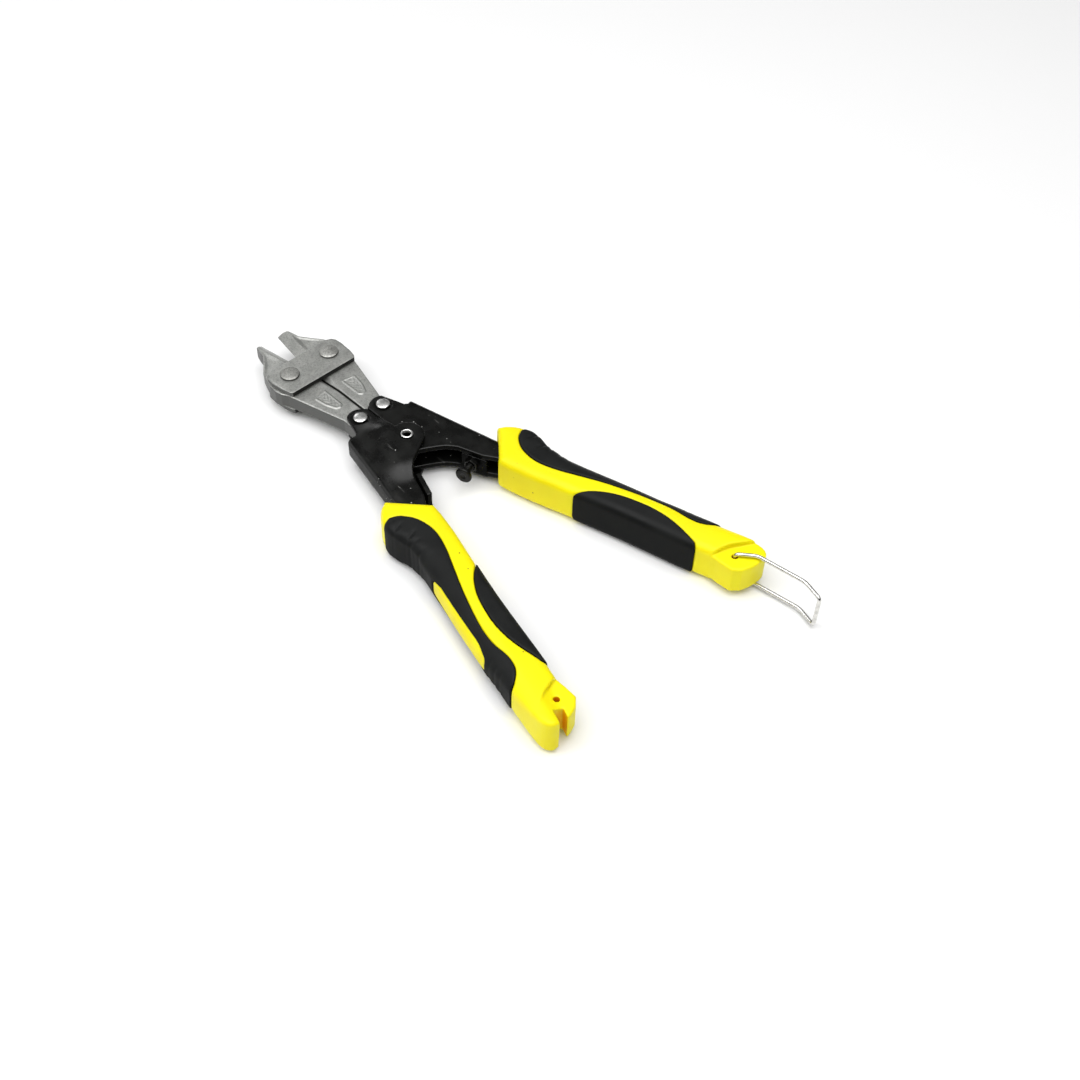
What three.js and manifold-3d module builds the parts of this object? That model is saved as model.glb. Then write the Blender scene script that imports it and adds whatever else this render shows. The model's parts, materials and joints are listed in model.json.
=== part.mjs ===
// Compound-action hand cutter: two short jaws held by a pair of link plates, driven through
// their tails by two pressed-steel handles with two-colour moulded grips, and a wire loop
// that holds the handles shut.
//
// Units are millimetres. The tool lies flat: +X runs from the jaws to the handles, +Y is the
// side of the right handle, +Z is up. The main pivot is at x = 0, y = 0 of the working frame;
// the finished group is then moved so that its box is centred and stands on z = 0.
// The pose is the fully open one.

import * as THREE from "three";
import * as BufferGeometryUtils from "three/addons/utils/BufferGeometryUtils.js";
import Module from "manifold-3d";

const wasm = await Module();
wasm.setup();

// ---------------------------------------------------------------- driving dimensions (mm)

const GAP = 0.3; // clearance between pieces that touch or turn on each other

// Linkage
const HANDLE_OPEN = 20; // degrees between each handle and the tool's axis, fully open
const TAIL_ARM = 19.7; // main pivot to tail rivet
const TAIL_ANGLE = 15.3; // degrees of that arm from the tool's axis, fully open
const JAW_ARM = 35.2; // tail rivet to jaw rivet
const JAW_PIVOT_HALF = 9; // half the distance between the two jaw rivets
const JAW_OPEN = 8.7; // degrees each jaw has turned open

// Jaws
const JAW_HALF = 2.8; // half thickness
const EDGE_LENGTH = 23.4; // cutting edge, measured from the foot below the jaw rivet
const EDGE_CLEARANCE = 0.12; // each edge from the middle when the jaws are shut
const BEVEL_WIDTH = 3.2;
const TAIL_BOSS = 4.3; // radius of the tail round its rivet
const TAIL_PARTING = 0.25; // each tail from the middle when the jaws are open
const PAD_RAISE = 0.35; // blank raised pad on each tail

// Link plates
const PLATE_END = 7.3; // reach past each jaw rivet at the ends
const PLATE_FRONT = 6.8; // and towards the cutting edges
const PLATE_REAR = 8.4; // and towards the handles
const PLATE_THICK = 2;

// Handles: pressed channels
const SHEET = 2;
const CHEEK_CLEARANCE = 0.25;
const WEB_AT_PIVOT = 17.9; // outer face of the web, level with the pivot
const WEB_SLOPE = 0.125; // the web runs in towards the grip
const WEB_START = -8.5; // the web begins here, behind the ears
const BEND_RADIUS = 3;
const PIVOT_BOSS = 6.2; // inner edge of the cheeks round the pivot
const CHEEK_EDGE = 4.4; // inner edge of the cheeks behind the arch
const ZONE_RADIUS = 7.3; // room under the raised part of the left cheeks
const ZONE_REACH = 11.3;
const TANG_END = 58;

// Rivets
const JAW_RIVET = { shank: 2.4, head: 3.6, height: 1 };
const TAIL_RIVET = { shank: 1.6, head: 2.5, height: 0.8 };
const PIVOT_RIVET = { shank: 1.8, head: 2.3, height: 0.4, bore: 1.1 };

// Grips
const GRIP_HALF = 7.6; // half thickness of the hard shell
const INLAY_DEPTH = 1.2;
const INLAY_PROUD = 0.4;
const EDGE_ROUND = 2.2;
const CORE_ROUND = 1;
const END_HALF = 5.4; // half thickness of the stepped-down end
const STRIP_HALF = 4.2; // half height of the hard strip between the soft faces
const STRIP_FROM = 62;
const STRIP_TO = 98;
const HOLE = { u: 121.6, v: -0.5, radius: 1.05 };
const SLOT = { u: 125.3, v: 0.75, half: 1.7 };

// Stop: a screw on the right handle meets a tab on the left one
const STOP_AT = 23.4;
const STOP_FACE = -3.2;
const STOP_HEAD = { radius: 3, thick: 1.3 };
const STOP_SHANK = 1.4;
const STOP_NUT = { across: 4.6, thick: 2.2 };
const TAB_FACE = 1;
const TAB_FROM = 15;
const TAB_TO = 26;
const LUG_FACE = 4.6;
const LUG_FROM = 18.6;
const LUG_TO = 28.6;

// Wire latch
const WIRE = 0.7; // radius
const WIRE_LEVEL = 6.6; // height of each leg above the middle plane
const WIRE_KNEE = [128.5, 1.9];
const WIRE_BEND = [146, -1.8];
const WIRE_END = [152.3, -6.4];
const WIRE_PIN = 3.2; // the ends reach down to this height in the hole

// Worked out from the above
const RAD = Math.PI / 180;
const INNER_HALF = JAW_HALF + CHEEK_CLEARANCE;
const OUTER_HALF = INNER_HALF + SHEET;
const RAISED_INNER = OUTER_HALF + CHEEK_CLEARANCE;
const RAISED_OUTER = RAISED_INNER + SHEET;
const PLATE_TOP = INNER_HALF + PLATE_THICK;
const TAIL_PIN = [-TAIL_ARM * Math.cos(TAIL_ANGLE * RAD), TAIL_ARM * Math.sin(TAIL_ANGLE * RAD)];
const JAW_PIN = [
  TAIL_PIN[0] - Math.sqrt(JAW_ARM ** 2 - (JAW_PIVOT_HALF - TAIL_PIN[1]) ** 2),
  JAW_PIVOT_HALF,
];
const EAR_PIN = turned(TAIL_PIN, -HANDLE_OPEN); // tail rivet in the handle's own frame

// ---------------------------------------------------------------- outlines

function turned([x, y], degrees) {
  const c = Math.cos(degrees * RAD);
  const s = Math.sin(degrees * RAD);
  return [x * c - y * s, x * s + y * c];
}

function along([x, y], degrees, distance) {
  return [x + distance * Math.cos(degrees * RAD), y + distance * Math.sin(degrees * RAD)];
}

/** Points on an arc, both ends included. */
function arc(centre, radius, from, to, steps = 8) {
  const points = [];
  for (let i = 0; i <= steps; i++) {
    points.push(along(centre, from + ((to - from) * i) / steps, radius));
  }
  return points;
}

/** Points on a smooth curve through the given ones. */
function smooth(points, perSpan = 3) {
  const curve = new THREE.SplineCurve(points.map(([x, y]) => new THREE.Vector2(x, y)));
  return curve.getPoints((points.length - 1) * perSpan).map((p) => [p.x, p.y]);
}

function webFace(u) {
  return WEB_AT_PIVOT - WEB_SLOPE * u;
}

// ---------------------------------------------------------------- solids

function solidFrom(geometry) {
  geometry.deleteAttribute("normal");
  geometry.deleteAttribute("uv");
  const merged = BufferGeometryUtils.mergeVertices(geometry, 1e-4);
  return new wasm.Manifold(
    new wasm.Mesh({
      numProp: 3,
      vertProperties: new Float32Array(merged.attributes.position.array),
      triVerts: new Uint32Array(merged.index.array),
    }),
  );
}

/** A straight-sided block on an outline, between two heights. */
function slab(points, bottom, top) {
  const shape = new THREE.Shape(points.map(([x, y]) => new THREE.Vector2(x, y)));
  const geometry = new THREE.ExtrudeGeometry(shape, { depth: top - bottom, bevelEnabled: false });
  geometry.translate(0, 0, bottom);
  return solidFrom(geometry);
}

/** The same on both sides of the middle plane. */
function block(points, half) {
  return slab(points, -half, half);
}

/** A block with rounded rims; `grow` moves every face out. */
function pillow(points, half, round, grow) {
  const shape = new THREE.Shape(points.map(([x, y]) => new THREE.Vector2(x, y)));
  const geometry = new THREE.ExtrudeGeometry(shape, {
    depth: 2 * (half + grow - round),
    bevelThickness: round,
    bevelSize: round,
    bevelOffset: grow - round,
    bevelSegments: 3,
  });
  geometry.translate(0, 0, -(half + grow - round));
  return solidFrom(geometry);
}

function cylinder([x, y], radius, bottom, top, sides = 32) {
  const geometry = new THREE.CylinderGeometry(radius, radius, top - bottom, sides);
  geometry.rotateX(Math.PI / 2);
  geometry.translate(x, y, (top + bottom) / 2);
  return solidFrom(geometry);
}

/** A turned piece on a vertical axis through a point, from its (radius, height) profile. */
function turnedPiece([x, y], profile, sides = 32) {
  const geometry = new THREE.LatheGeometry(profile.map(([r, z]) => new THREE.Vector2(r, z)), sides);
  geometry.rotateX(Math.PI / 2);
  geometry.translate(x, y, 0);
  return solidFrom(geometry);
}

/** A cylinder lying along v, the handle's own sideways direction. */
function crossCylinder(u, from, to, radius, sides = 24) {
  const geometry = new THREE.CylinderGeometry(radius, radius, to - from, sides);
  geometry.translate(u, (from + to) / 2, 0);
  return solidFrom(geometry);
}

/** A prism between two points of the plane, from a section in (sideways, height). */
function prismAlong(start, end, section) {
  const length = Math.hypot(end[0] - start[0], end[1] - start[1]);
  const shape = new THREE.Shape(section.map(([x, y]) => new THREE.Vector2(x, y)));
  const geometry = new THREE.ExtrudeGeometry(shape, { depth: length, bevelEnabled: false });
  const forward = new THREE.Vector3(end[0] - start[0], end[1] - start[1], 0).normalize();
  const up = new THREE.Vector3(0, 0, 1);
  const sideways = new THREE.Vector3().crossVectors(up, forward);
  const frame = new THREE.Matrix4().makeBasis(sideways, up, forward);
  frame.setPosition(start[0], start[1], 0);
  geometry.applyMatrix4(frame);
  return solidFrom(frame.determinant() > 0 ? geometry : flipped(geometry));
}

function flipped(geometry) {
  const index = geometry.index ? Array.from(geometry.index.array) : null;
  const order = index ?? Array.from({ length: geometry.attributes.position.count }, (_, i) => i);
  for (let i = 0; i < order.length; i += 3) {
    [order[i], order[i + 1]] = [order[i + 1], order[i]];
  }
  geometry.setIndex(order);
  return geometry;
}

function meshFrom(name, solid, look) {
  const { vertProperties, triVerts } = solid.getMesh();
  const geometry = new THREE.BufferGeometry();
  geometry.setAttribute("position", new THREE.BufferAttribute(new Float32Array(vertProperties), 3));
  geometry.setIndex(new THREE.BufferAttribute(new Uint32Array(triVerts), 1));
  geometry.computeVertexNormals();
  const mesh = new THREE.Mesh(geometry, new THREE.MeshStandardMaterial(look));
  mesh.name = name;
  return mesh;
}

const LOOKS = {
  yellowPlastic: { color: 0xf3dd1c, roughness: 0.45, metalness: 0 },
  blackRubber: { color: 0x2a2b2c, roughness: 0.75, metalness: 0 },
  blackPaint: { color: 0x1c1c1b, roughness: 0.3, metalness: 0.2 },
  forgedSteel: { color: 0xa6a8a2, roughness: 0.4, metalness: 0.9 },
  plateSteel: { color: 0x9b9c96, roughness: 0.42, metalness: 0.9 },
  brightSteel: { color: 0xd4d5d3, roughness: 0.2, metalness: 1 },
  blackSteel: { color: 0x181817, roughness: 0.4, metalness: 0.6 },
};

// ---------------------------------------------------------------- jaws and link plates

/** One forged jaw in the open pose; side is +1 for the right one and -1 for the left one. */
function jaw(side) {
  const at = (x, y) => [JAW_PIN[0] + x, JAW_PIN[1] + y];
  const edgeDistance = JAW_PIVOT_HALF - EDGE_CLEARANCE;
  const edgeFoot = along(JAW_PIN, -90 - JAW_OPEN, edgeDistance);
  const edgeTip = along(edgeFoot, 180 - JAW_OPEN, EDGE_LENGTH);
  const parting = TAIL_PARTING;
  const outline = [
    edgeTip,
    along(edgeTip, 64, 3.6),
    at(-19.8, -1.1),
    at(-17.2, -0.6),
    at(-13, 2.4),
    at(-9.8, 4.9),
    at(-6.5, 6.2),
    at(-2.4, 7.5),
    at(1.2, 7.9),
    at(4, 7.4),
    at(6.4, 6),
    at(30, -0.3),
    ...arc(TAIL_PIN, TAIL_BOSS, 60, -88, 14),
    [TAIL_PIN[0] - 1, parting],
    [edgeFoot[0] + 2, parting],
    edgeFoot,
  ];
  const bevelTop = JAW_HALF + 1;
  const bevelRun = (BEVEL_WIDTH * bevelTop) / JAW_HALF;
  const rear = along(edgeFoot, -JAW_OPEN, 3);
  const front = along(edgeTip, 180 - JAW_OPEN, 3);
  const wedge = [
    [0.02, 0.1],
    [-2, 0.1],
    [-2, bevelTop],
    [bevelRun, bevelTop],
  ];
  const upper = prismAlong(front, rear, wedge);
  const lower = prismAlong(front, rear, wedge.map(([x, z]) => [x, -z]));
  const pad = [at(12.6, -4.9), at(13.4, -0.6), at(22.2, -2.5), at(22.8, -4.6)];
  const body = block(outline, JAW_HALF)
    .add(slab(pad, 0, JAW_HALF + PAD_RAISE))
    .subtract(upper)
    .subtract(lower)
    .subtract(cylinder(JAW_PIN, JAW_RIVET.shank + GAP, -9, 9))
    .subtract(cylinder(TAIL_PIN, TAIL_RIVET.shank + GAP, -9, 9));
  return side > 0 ? body : body.mirror([0, 1, 0]);
}

/** One link plate, above (+1) or below (-1) the jaws. */
function linkPlate(level) {
  const [x, y] = JAW_PIN;
  const end = [
    [PLATE_REAR, PLATE_END - 2.1],
    [PLATE_REAR - 1, PLATE_END - 1.4],
    [PLATE_REAR - 4.4, PLATE_END - 0.6],
    [-1, PLATE_END],
    [2.6 - PLATE_FRONT, PLATE_END - 0.3],
    [0.8 - PLATE_FRONT, PLATE_END - 1.4],
    [-PLATE_FRONT, PLATE_END - 3.5],
  ];
  const outline = [
    ...end.map(([dx, dy]) => [x + dx, y + dy]),
    ...end.map(([dx, dy]) => [x + dx, -y - dy]).reverse(),
  ];
  const bottom = level > 0 ? INNER_HALF : -PLATE_TOP;
  let plate = slab(outline, bottom, bottom + PLATE_THICK);
  for (const side of [1, -1]) {
    plate = plate.subtract(cylinder([x, side * y], JAW_RIVET.shank + GAP, -9, 9));
  }
  return plate;
}

/** A solid rivet whose two domed heads sit on faces at +-seat. */
function domedRivet(centre, size, seat) {
  const under = seat + GAP / 2;
  const rise = (size.height * 2) / 3;
  const half = [
    [size.head, under],
    [size.head, under + size.height - rise],
    [size.head * 0.86, under + size.height - rise * 0.4],
    [size.head * 0.5, under + size.height],
  ];
  const below = half.map(([r, z]) => [r, -z]).reverse();
  const profile = [
    [0, -under - size.height],
    ...below,
    [size.shank, -under],
    [size.shank, under],
    ...half,
    [0, under + size.height],
  ];
  return turnedPiece(centre, profile);
}

/** The hollow rivet of the main pivot. */
function tubularRivet() {
  const under = RAISED_OUTER + GAP / 2;
  const top = under + PIVOT_RIVET.height;
  const { shank, head, bore } = PIVOT_RIVET;
  const profile = [
    [bore, -top],
    [head - 0.3, -top],
    [head, -under],
    [shank, -under],
    [shank, under],
    [head, under],
    [head - 0.3, top],
    [bore, top],
    [bore, -top],
  ];
  return turnedPiece([0, 0], profile);
}

// ---------------------------------------------------------------- handle channels
// Handle frame: u runs from the main pivot to the grip end, v points away from the other handle.

/** Side view of a channel, ears first. */
function cheekOutline() {
  const inward = -HANDLE_OPEN; // direction of the tool's axis in the handle frame
  const earInner = along(EAR_PIN, -HANDLE_OPEN - 90, TAIL_PIN[1] - TAIL_PARTING + 0.05);
  const neck = turned([-Math.sqrt(PIVOT_BOSS ** 2 - 0.04), 0.2], inward);
  const neckAngle = Math.atan2(neck[1], neck[0]) / RAD;
  const ear = arc(EAR_PIN, 5, 125, 210, 6);
  return [
    along(earInner, 180 + inward, 2.6),
    neck,
    ...arc([0, 0], PIVOT_BOSS, neckAngle + 12, 300, 12),
    ...smooth([[5.6, -3.4], [10, 0.4], [13.6, 3], [17.5, CHEEK_EDGE]]),
    [27, CHEEK_EDGE],
    [33, CHEEK_EDGE + 1.4],
    [TANG_END, CHEEK_EDGE + 1.4],
    [TANG_END, webFace(TANG_END)],
    [WEB_START, webFace(WEB_START)],
    [WEB_START - 1.2, EAR_PIN[1] + 3.9],
    ...ear,
  ];
}

/** Cuts the outer bend of the sheet along the web. */
function bendCutter(level) {
  const from = [WEB_START - 5, webFace(WEB_START - 5)];
  const to = [TANG_END + 5, webFace(TANG_END + 5)];
  const centre = [-BEND_RADIUS, OUTER_HALF - BEND_RADIUS];
  const section = [
    [1, OUTER_HALF + 1],
    [-BEND_RADIUS, OUTER_HALF + 1],
    ...arc(centre, BEND_RADIUS, 90, 0, 6),
  ];
  section.push([1, OUTER_HALF - BEND_RADIUS]);
  return prismAlong(from, to, section.map(([x, z]) => [x, z * level]));
}

/** The hollow between the cheeks, open to the inside and the front. */
function channelRoom() {
  const inner = SHEET;
  return block(
    [
      [-40, webFace(-40) - inner],
      [-40, -40],
      [TANG_END + 10, -40],
      [TANG_END + 10, webFace(TANG_END + 10) - inner],
    ],
    INNER_HALF,
  );
}

function withBores(channel) {
  return channel
    .subtract(cylinder([0, 0], PIVOT_RIVET.shank + GAP, -12, 12))
    .subtract(cylinder(EAR_PIN, TAIL_RIVET.shank + GAP, -12, 12));
}

function channelBase() {
  return block(cheekOutline(), OUTER_HALF)
    .subtract(bendCutter(1))
    .subtract(bendCutter(-1));
}

/** Lower flange of the right channel that carries the stop screw. */
function stopLug() {
  const wall = [
    [LUG_FROM, LUG_FACE],
    [LUG_TO, LUG_FACE],
    [LUG_TO, LUG_FACE + SHEET],
    [LUG_FROM, LUG_FACE + SHEET],
  ];
  return slab(wall, -OUTER_HALF + 0.1, INNER_HALF - GAP);
}

function rightChannel() {
  const channel = channelBase().subtract(channelRoom()).add(stopLug());
  return withBores(channel).subtract(crossCylinder(STOP_AT, 0, 10, STOP_SHANK + GAP));
}

/** Side view of the raised part of the left cheeks; `grow` is the wall round it. */
function raisedZone(grow) {
  const radius = ZONE_RADIUS + grow;
  const reach = ZONE_REACH + grow;
  return [
    [0, -14],
    [reach, -14],
    [reach, 6],
    [reach - 2, radius],
    ...arc([0, 0], radius, 90, 250, 14),
    [-3, -14],
  ];
}

/** Bent tab of the left channel that the stop screw meets. */
function stopTab() {
  const strip = (reach) => [
    [TAB_FROM, TAB_FACE],
    [TAB_TO, TAB_FACE],
    [TAB_TO, reach],
    [TAB_FROM, reach],
  ];
  const wall = slab(strip(TAB_FACE + SHEET), -OUTER_HALF, INNER_HALF);
  return wall.add(slab(strip(CHEEK_EDGE + 2), -OUTER_HALF, -INNER_HALF));
}

function leftChannel() {
  const raised = block(raisedZone(SHEET), RAISED_OUTER).intersect(block(cheekOutline(), RAISED_OUTER));
  const channel = channelBase()
    .add(raised)
    .subtract(channelRoom())
    .subtract(block(raisedZone(0), RAISED_INNER))
    .add(stopTab());
  return withBores(channel).mirror([0, 1, 0]);
}

// ---------------------------------------------------------------- grips

const GRIP_OUTLINE = [
  [25.9, 18.2],
  ...smooth([
    [28.4, 20.3],
    [31.5, 21.6],
    [35, 22],
    [38.5, 21.6],
    [42, 20.1],
    [45.5, 18.1],
    [49.5, 16.6],
    [55, 15.6],
    [62, 15.3],
    [78, 14.8],
    [92, 13.8],
    [98, 12.9],
    [103, 11.9],
    [109, 11],
    [115, 10.3],
    [121, 9.3],
    [126.5, 8.1],
    [129.6, 6.6],
    [130.8, 4.2],
    [129.9, 1],
    [128.2, -2.3],
    [126, -4.9],
  ], 2),
  [122.9, -6.4],
  ...smooth([
    [118, -4.9],
    [114.5, -3.7],
    [110, -3.4],
    [104, -2.9],
    [93, -1.7],
    [78, -0.2],
    [62, 0.8],
    [48, 1.5],
    [38, 2.6],
  ], 2),
  [33.8, 3.4],
];

/** Where the soft palm piece lies: from this line outwards. */
const PALM_REGION = [
  ...smooth([
    [34.6, 19.6],
    [35.4, 15.6],
    [39.2, 11],
    [45.5, 8],
    [53, 7.4],
    [62, 8.2],
    [73, 9.3],
    [86, 9.7],
    [95, 8.9],
    [102, 6.8],
    [106.5, 6.4],
    [109.4, 7.2],
    [112, 9],
  ], 2),
  [114.4, 12],
  [114.4, 30],
  [36, 30],
  [35.6, 22],
];

/** Where the soft finger piece lies: a lens on the top that wraps round the inner side. */
const FINGER_REGION = [
  ...smooth([
    [64.5, 1.6],
    [69.5, 4.3],
    [76, 6],
    [83, 6.3],
    [91, 5.5],
    [99, 3],
    [108, -1.8],
  ], 2),
  [109.5, -4],
  [109.5, -12],
  [62.4, -12],
  [62.4, 0.5],
];

/** The same region moved out by a distance, for the pocket round a soft piece. */
function grown(points, distance) {
  const shape = block(points, 20);
  const pieces = [shape];
  for (let i = 0; i < 12; i++) {
    const [x, y] = along([0, 0], i * 30, distance);
    pieces.push(shape.translate([x, y, 0]));
  }
  return wasm.Manifold.union(pieces);
}

function stripBox(grow) {
  const from = STRIP_FROM - grow;
  const to = STRIP_TO + grow;
  return block([[from, 10], [to, 10], [to, 30], [from, 30]], STRIP_HALF + grow);
}

/** Cut that thins the rear end on both faces. */
function endStep() {
  const outline = [
    [114.2, -9],
    [114.8, -3.4],
    [117, -0.2],
    [118.8, 2.1],
    [123, 5.6],
    [127, 9],
    [129, 16],
    [150, 16],
    [150, -9],
  ];
  return slab(outline, END_HALF, 20).add(slab(outline, -20, -END_HALF));
}

function tangRoom() {
  const low = CHEEK_EDGE - GAP;
  const reach = TANG_END + GAP;
  return block(
    [
      [20, low],
      [27, low],
      [33, low + 1.4],
      [reach, low + 1.4],
      [reach, webFace(reach) + GAP],
      [20, webFace(20) + GAP],
    ],
    OUTER_HALF + GAP,
  );
}

function gripShell(side) {
  const whole = pillow(GRIP_OUTLINE, GRIP_HALF, EDGE_ROUND, 0);
  const core = pillow(GRIP_OUTLINE, GRIP_HALF, CORE_ROUND, -INLAY_DEPTH - GAP);
  let shell = whole
    .subtract(grown(PALM_REGION, GAP))
    .subtract(grown(FINGER_REGION, GAP))
    .add(core)
    .add(whole.intersect(stripBox(0)))
    .subtract(tangRoom())
    .subtract(endStep())
    .subtract(cylinder([HOLE.u, HOLE.v], HOLE.radius, -12, 12, 20));
  if (side < 0) {
    shell = shell.subtract(latchSlot());
  }
  return side > 0 ? shell : shell.mirror([0, 1, 0]);
}

/** Open slot in the end of the left grip that takes the latch's crossbar. */
function latchSlot() {
  return block(
    [
      [SLOT.u, SLOT.v - SLOT.half],
      [SLOT.u + 15, SLOT.v - SLOT.half],
      [SLOT.u + 15, SLOT.v + SLOT.half],
      [SLOT.u, SLOT.v + SLOT.half],
    ],
    12,
  );
}

function softPiece(region, side) {
  const skin = pillow(GRIP_OUTLINE, GRIP_HALF, EDGE_ROUND, INLAY_PROUD);
  const core = pillow(GRIP_OUTLINE, GRIP_HALF, CORE_ROUND, -INLAY_DEPTH);
  const piece = skin.intersect(block(region, 20)).subtract(core).subtract(stripBox(GAP));
  return side > 0 ? piece : piece.mirror([0, 1, 0]);
}

// ---------------------------------------------------------------- stop screw and wire latch

function stopScrew() {
  const { radius, thick } = STOP_HEAD;
  const head = crossCylinder(STOP_AT, STOP_FACE, STOP_FACE + thick, radius);
  return head.add(crossCylinder(STOP_AT, STOP_FACE + thick / 2, LUG_FACE + SHEET + 2, STOP_SHANK));
}

function stopNut() {
  const from = LUG_FACE - GAP / 2 - STOP_NUT.thick;
  const corner = STOP_NUT.across / Math.sqrt(3);
  const nut = crossCylinder(STOP_AT, from, from + STOP_NUT.thick, corner, 6);
  return nut.subtract(crossCylinder(STOP_AT, from - 1, from + STOP_NUT.thick + 1, STOP_SHANK + GAP));
}

/** Rounds the corners of a bent wire's route. */
function bentRoute(corners, radius) {
  const path = new THREE.CurvePath();
  const points = corners.map((c) => new THREE.Vector3(...c));
  let from = points[0];
  for (let i = 1; i < points.length - 1; i++) {
    const before = points[i - 1].clone().sub(points[i]).setLength(radius);
    const after = points[i + 1].clone().sub(points[i]).setLength(radius);
    const enter = points[i].clone().add(before);
    const leave = points[i].clone().add(after);
    path.add(new THREE.LineCurve3(from, enter));
    path.add(new THREE.QuadraticBezierCurve3(enter, points[i], leave));
    from = leave;
  }
  path.add(new THREE.LineCurve3(from, points[points.length - 1]));
  return path;
}

function wireLatch() {
  const corners = [];
  for (const level of [1, -1]) {
    const leg = [
      [HOLE.u, HOLE.v, WIRE_PIN * level],
      [HOLE.u, HOLE.v, WIRE_LEVEL * level],
      [...WIRE_KNEE, WIRE_LEVEL * level],
      [...WIRE_BEND, WIRE_LEVEL * level],
      [...WIRE_END, WIRE_LEVEL * level],
    ];
    corners.push(...(level > 0 ? leg : leg.reverse()));
  }
  const section = new THREE.Shape(arc([0, 0], WIRE, 0, 315, 7).map(([x, y]) => new THREE.Vector2(x, y)));
  const geometry = new THREE.ExtrudeGeometry(section, {
    steps: 90,
    bevelEnabled: false,
    extrudePath: bentRoute(corners, 1.4),
  });
  return solidFrom(geometry);
}

// ---------------------------------------------------------------- assembly

function handleGroup(side) {
  const label = side > 0 ? "right" : "left";
  const group = new THREE.Group();
  group.rotation.z = side * HANDLE_OPEN * RAD;
  const channel = side > 0 ? rightChannel() : leftChannel();
  group.add(
    meshFrom(`${label}_handle_channel`, channel, LOOKS.blackPaint),
    meshFrom(`${label}_grip_shell`, gripShell(side), LOOKS.yellowPlastic),
    meshFrom(`${label}_palm_inlay`, softPiece(PALM_REGION, side), LOOKS.blackRubber),
    meshFrom(`${label}_finger_panel`, softPiece(FINGER_REGION, side), LOOKS.blackRubber),
  );
  if (side > 0) {
    group.add(
      meshFrom("stop_screw", stopScrew(), LOOKS.blackSteel),
      meshFrom("stop_nut", stopNut(), LOOKS.blackSteel),
      meshFrom("wire_latch", wireLatch(), LOOKS.brightSteel),
    );
  }
  return group;
}

const tool = new THREE.Group();
for (const side of [1, -1]) {
  const label = side > 0 ? "right" : "left";
  const jawPin = [JAW_PIN[0], side * JAW_PIN[1]];
  const tailPin = [TAIL_PIN[0], side * TAIL_PIN[1]];
  tool.add(
    meshFrom(`${label}_jaw`, jaw(side), LOOKS.forgedSteel),
    meshFrom(`${label}_jaw_rivet`, domedRivet(jawPin, JAW_RIVET, PLATE_TOP), LOOKS.brightSteel),
    meshFrom(`${label}_tail_rivet`, domedRivet(tailPin, TAIL_RIVET, OUTER_HALF), LOOKS.brightSteel),
    handleGroup(side),
  );
}
tool.add(
  meshFrom("front_link_plate", linkPlate(1), LOOKS.plateSteel),
  meshFrom("back_link_plate", linkPlate(-1), LOOKS.plateSteel),
  meshFrom("main_pivot_rivet", tubularRivet(), LOOKS.brightSteel),
);

// Centre the tool's box on the origin and stand it on z = 0.
const box = new THREE.Box3().setFromObject(tool, true);
const centre = box.getCenter(new THREE.Vector3());
tool.position.set(-centre.x, -centre.y, -box.min.z);

const part = new THREE.Group();
part.add(tool);

export default part;
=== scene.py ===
# %% [markdown]
# # A compound-action hand cutter, modelled around its CAD frame
# The CAD frame gives the bodies, joints and sizes. This script gives every piece its finished
# surface. Sizes are in millimetres here and become metres when a mesh is placed.

import json
import math

import bpy
import numpy as np
from mathutils import Matrix, Vector


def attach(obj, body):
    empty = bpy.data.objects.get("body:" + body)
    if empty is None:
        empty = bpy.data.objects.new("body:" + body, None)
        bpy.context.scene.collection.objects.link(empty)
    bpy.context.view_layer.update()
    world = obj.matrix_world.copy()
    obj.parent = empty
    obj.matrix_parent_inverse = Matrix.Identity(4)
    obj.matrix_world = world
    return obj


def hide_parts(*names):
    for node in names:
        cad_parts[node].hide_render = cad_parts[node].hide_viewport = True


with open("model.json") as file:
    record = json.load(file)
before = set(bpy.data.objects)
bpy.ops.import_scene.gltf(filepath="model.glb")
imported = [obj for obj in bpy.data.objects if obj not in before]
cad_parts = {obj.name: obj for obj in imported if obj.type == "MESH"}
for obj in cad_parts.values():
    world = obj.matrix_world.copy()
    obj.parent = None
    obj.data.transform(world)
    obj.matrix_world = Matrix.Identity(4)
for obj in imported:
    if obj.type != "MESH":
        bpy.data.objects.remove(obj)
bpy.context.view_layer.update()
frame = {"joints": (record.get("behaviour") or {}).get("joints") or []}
JOINTS = {joint["name"]: joint for joint in frame["joints"]}

# %% [markdown]
# ## The shared sizes
# The main pivot is the natural origin of a tool like this. Each handle has its own frame: u runs
# along the handle from the pivot, v points away from the other handle and w points up.

# %% Sizes shared by several pieces
MM = 0.001
HANDLE_OPEN = math.radians(20)
PIVOT = Vector(JOINTS["handle_pivot"]["pos_m"])
TAIL = Vector(JOINTS["right_tail_pivot"]["pos_m"]) - PIVOT
JAW = Vector(JOINTS["jaw_pivot"]["pos_m"]) - PIVOT
TAIL_X, TAIL_Y = TAIL.x / MM, TAIL.y / MM
JAW_X, JAW_Y = JAW.x / MM, JAW.y / MM
JAW_HALF = 2.8
SHEET = 2.0
CHEEK_INNER = JAW_HALF + 0.25
CHEEK_OUTER = CHEEK_INNER + SHEET
RAISED_OUTER = CHEEK_OUTER + 0.25 + SHEET
GRIP_HALF = 7.6
JAW_HOLE = 2.7
TAIL_HOLE = 1.9
PIVOT_HOLE = 2.1
STOP_HOLE = 1.7
STOP_U = 23.4
WIRE_LEVEL = 6.6
QUICK = 1.0
print("tail rivet at", round(TAIL_X, 2), round(TAIL_Y, 2), "jaw rivet at", round(JAW_X, 2), round(JAW_Y, 2))

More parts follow.
